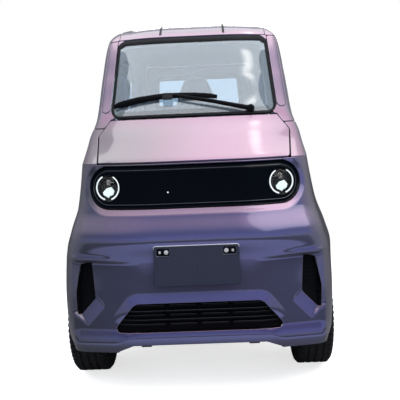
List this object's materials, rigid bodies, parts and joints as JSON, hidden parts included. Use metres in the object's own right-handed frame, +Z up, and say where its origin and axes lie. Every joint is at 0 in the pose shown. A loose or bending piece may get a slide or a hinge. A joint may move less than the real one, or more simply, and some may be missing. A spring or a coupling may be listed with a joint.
{
  "type": "low-speed electric car",
  "caption": "Small three-seat low-speed electric city car with a middle driver's seat, two side doors, a short bonnet, a lifting tailgate and a black lamp panel.",
  "frame": {"origin": "on the ground, midway between the number plate's front and the tail, and midway between the sides", "axes": "+Z up, the car faces -Y, +X is its left side"},
  "size_m": [1.1544, 2.35, 1.5599],
  "materials": {
    "paint": "gloss colour-shift pearl",
    "gloss_black": "high gloss",
    "lamp_glass": "clear dome over a dark bowl",
    "tail_lens": "clear red lens",
    "trim_black": "fine grain",
    "plate": "satin",
    "glass": "clear",
    "underbody": "satin black",
    "battery": "satin",
    "tyre": "matt",
    "rim": "silver lacquer",
    "interior": "grained",
    "seat": "matt grey"
  },
  "bodies": {
    "body": {"front_bumper": "paint", "wing_left": "paint", "wing_right": "paint", "side_frame_left": "paint", "side_frame_right": "paint", "roof_panel": "paint", "rear_bumper": "paint", "front_panel": "gloss_black", "headlamps": "lamp_glass", "tail_lamps": "tail_lens", "grilles": "trim_black", "cowl_panel": "trim_black", "wiper": "trim_black", "number_plate": "plate", "windscreen": "glass", "quarter_glass": "glass", "floor_pan": "underbody", "chassis_frame": "underbody", "rear_axle": "underbody", "suspension": "underbody", "driver_seat_frame": "underbody", "battery_pack": "battery", "dashboard": "interior", "driver_seat_cushion": "seat", "driver_seat_back": "seat", "bench_cushion": "seat", "bench_back": "seat"},
    "wheel_front_left": {"tyre_front_left": "tyre", "rim_front_left": "rim"},
    "wheel_front_right": {"tyre_front_right": "tyre", "rim_front_right": "rim"},
    "wheel_rear_left": {"tyre_rear_left": "tyre", "rim_rear_left": "rim"},
    "wheel_rear_right": {"tyre_rear_right": "tyre", "rim_rear_right": "rim"},
    "knuckle_left": {"knuckle_left": "underbody"},
    "knuckle_right": {"knuckle_right": "underbody"},
    "door_left": {"door_left": "paint", "door_glass_left": "glass"},
    "door_right": {"door_right": "paint", "door_glass_right": "glass"},
    "bonnet": {"bonnet": "paint"},
    "tailgate": {"tailgate": "paint", "rear_glass": "glass"},
    "steering_wheel": {"steering_wheel": "interior"}
  },
  "joints": [
    {"name": "steer_left", "type": "hinge", "parent": "body", "child": "knuckle_left", "pos_m": [0.4, -0.767, 0.245], "axis": [0, 0, 1], "range_deg": [-30, 30]},
    {"name": "steer_right", "type": "hinge", "parent": "body", "child": "knuckle_right", "pos_m": [-0.4, -0.767, 0.245], "axis": [0, 0, 1], "range_deg": [-30, 30]},
    {"name": "steering_wheel_turn", "type": "hinge", "parent": "body", "child": "steering_wheel", "pos_m": [0, -0.322, 0.985], "axis": [0, 0.8829, 0.4695], "range_deg": [-360, 360]},
    {"name": "spin_front_left", "type": "hinge", "parent": "knuckle_left", "child": "wheel_front_left", "pos_m": [0.467, -0.767, 0.245], "axis": [1, 0, 0], "continuous": true},
    {"name": "spin_front_right", "type": "hinge", "parent": "knuckle_right", "child": "wheel_front_right", "pos_m": [-0.467, -0.767, 0.245], "axis": [1, 0, 0], "continuous": true},
    {"name": "spin_rear_left", "type": "hinge", "parent": "body", "child": "wheel_rear_left", "pos_m": [0.467, 0.778, 0.245], "axis": [1, 0, 0], "continuous": true},
    {"name": "spin_rear_right", "type": "hinge", "parent": "body", "child": "wheel_rear_right", "pos_m": [-0.467, 0.778, 0.245], "axis": [1, 0, 0], "continuous": true},
    {"name": "door_left_swing", "type": "hinge", "parent": "body", "child": "door_left", "pos_m": [0.574, -0.4205, 0.7], "axis": [0, 0, -1], "range_deg": [0, 65]},
    {"name": "door_right_swing", "type": "hinge", "parent": "body", "child": "door_right", "pos_m": [-0.574, -0.4205, 0.7], "axis": [0, 0, 1], "range_deg": [0, 65]},
    {"name": "bonnet_lift", "type": "hinge", "parent": "body", "child": "bonnet", "pos_m": [0, -0.672, 1.085], "axis": [-1, 0, 0], "range_deg": [0, 55]},
    {"name": "tailgate_lift", "type": "hinge", "parent": "body", "child": "tailgate", "pos_m": [0, 0.94487, 1.4655], "axis": [1, 0, 0], "range_deg": [0, 75]}
  ],
  "couplings": [
    {"joint": "steer_right", "follows": "steer_left", "ratio": 1},
    {"joint": "steering_wheel_turn", "follows": "steer_left", "ratio": 12}
  ]
}
